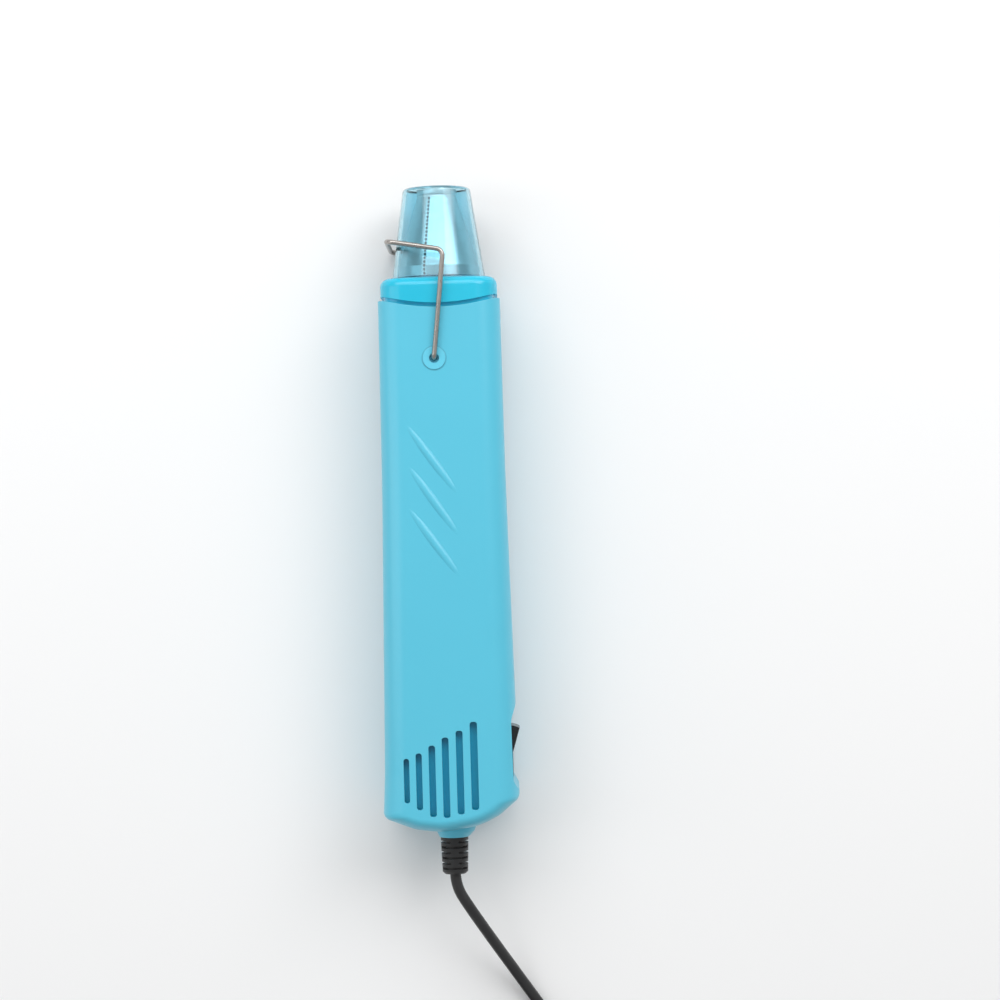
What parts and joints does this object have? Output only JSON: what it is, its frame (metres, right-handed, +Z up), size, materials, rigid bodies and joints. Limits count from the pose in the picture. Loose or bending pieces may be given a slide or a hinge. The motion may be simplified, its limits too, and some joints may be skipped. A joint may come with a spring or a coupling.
{
  "type": "embossing heat tool",
  "caption": "Slim hand-held embossing heat tool with a guarded round nozzle, side rocker switch, folding wire stand, fan heater inside and a mains cord put away in a coil.",
  "frame": {"origin": "centre of the tool's footprint, on the surface it lies on (cord and plug not counted)", "axes": "+Y along the tool towards the nozzle, +X towards the switch side, +Z up out of the broad side"},
  "size_m": [0.0933, 0.4072, 0.0453],
  "materials": {
    "body_plastic": "smooth pale cyan moulding, soft gloss",
    "guard_plastic": "translucent teal moulding",
    "nozzle_steel": "drawn steel sheet, bright",
    "wire_steel": "plated steel wire",
    "black_plastic": "black moulding, satin gloss",
    "black_rubber": "soft black vinyl",
    "screw_steel": "zinc plated",
    "mica": "mica board",
    "heater_wire": "resistance wire",
    "motor_steel": "plated steel can",
    "magnet": "ferrite",
    "armature_metal": "enamelled copper on a steel core",
    "bronze": "sintered bronze",
    "brass": "plain brass",
    "plated_brass": "nickel plated blades",
    "duct_plastic": "heat-resistant moulding",
    "damper_rubber": "soft rubber ring",
    "board": "phenolic board",
    "diode_black": "moulded epoxy",
    "lead_brown": "brown insulation",
    "lead_blue": "blue insulation",
    "thermostat_metal": "bimetal strip in a small case",
    "fuse_body": "sleeved thermal fuse"
  },
  "bodies": {
    "housing": {"shell_upper": "body_plastic", "shell_lower": "body_plastic", "shell_screws": "screw_steel", "nose_guard": "guard_plastic", "nozzle_cone": "nozzle_steel", "heater_barrel": "nozzle_steel", "mica_sleeve": "mica", "mica_cross": "mica", "heating_coil": "heater_wire", "thermostat": "thermostat_metal", "thermal_fuse": "fuse_body", "air_duct": "duct_plastic", "motor_can": "motor_steel", "motor_magnets": "magnet", "motor_endcap": "duct_plastic", "motor_brushes": "brass", "motor_bushes": "bronze", "motor_dampers": "damper_rubber", "rectifier_board": "board", "rectifier_diodes": "diode_black", "switch_housing": "black_plastic", "switch_contacts": "brass", "strain_relief": "black_rubber", "cord_sheath": "black_rubber", "lead_live": "lead_brown", "lead_switched": "lead_brown", "lead_neutral": "lead_blue", "cord_run": "black_rubber", "cord_coil": "black_rubber", "cord_end": "black_rubber", "coil_tie": "black_plastic", "plug_body": "black_rubber", "plug_pins": "plated_brass"},
    "stand": {"stand_wire": "wire_steel"},
    "rocker": {"rocker_button": "black_plastic"},
    "rotor": {"motor_shaft": "motor_steel", "motor_armature": "armature_metal", "fan_impeller": "duct_plastic"}
  },
  "joints": [
    {"name": "stand_swing", "type": "hinge", "parent": "housing", "child": "stand", "pos_m": [-0.0022, 0.0654, 0.02265], "axis": [0, 0, 1], "range_deg": [0, 125]},
    {"name": "rocker_press", "type": "hinge", "parent": "housing", "child": "rocker", "pos_m": [0.0215, -0.0852, 0.02265], "axis": [0, 0, 1], "range_deg": [0, 16.6]},
    {"name": "motor_spin", "type": "hinge", "parent": "housing", "child": "rotor", "pos_m": [0, -0.05, 0.02265], "axis": [0, 1, 0], "continuous": true}
  ]
}
